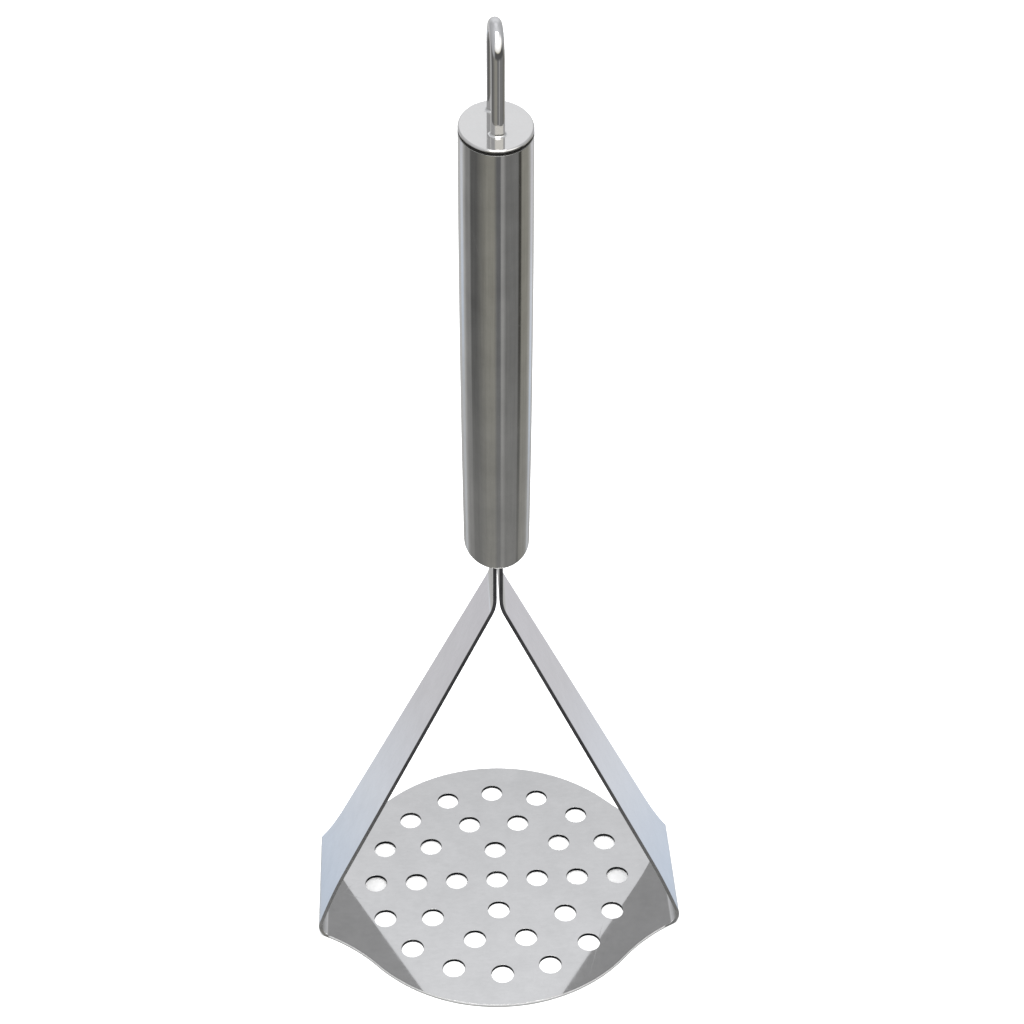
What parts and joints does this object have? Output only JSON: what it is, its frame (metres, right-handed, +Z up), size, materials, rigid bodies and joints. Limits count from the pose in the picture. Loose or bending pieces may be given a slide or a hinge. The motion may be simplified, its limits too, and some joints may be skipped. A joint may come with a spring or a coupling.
{
  "type": "potato masher",
  "caption": "Steel hand masher: a round perforated plate on two arms folded up from the same sheet, with a hollow oval handle and a wire hanging loop.",
  "frame": {"origin": "centre of the underside of the perforated plate, which is the lowest point of the part", "axes": "+Z up along the handle, X from arm to arm, Y along the handle's deep side with +Y away from the viewer"},
  "size_m": [0.105, 0.0942, 0.2725],
  "materials": {
    "head_steel": "satin polished sheet",
    "handle_steel": "brushed lengthwise",
    "plug_steel": "satin",
    "cap_steel": "mirror polished steel",
    "loop_steel": "mirror polished wire",
    "weld_steel": "as welded"
  },
  "bodies": {
    "root": {"masher_head": "head_steel", "handle_tube": "handle_steel", "foot_plug": "plug_steel", "end_cap": "cap_steel", "hanging_loop": "loop_steel", "tang_weld": "weld_steel", "loop_weld": "loop_steel"}
  },
  "joints": []
}
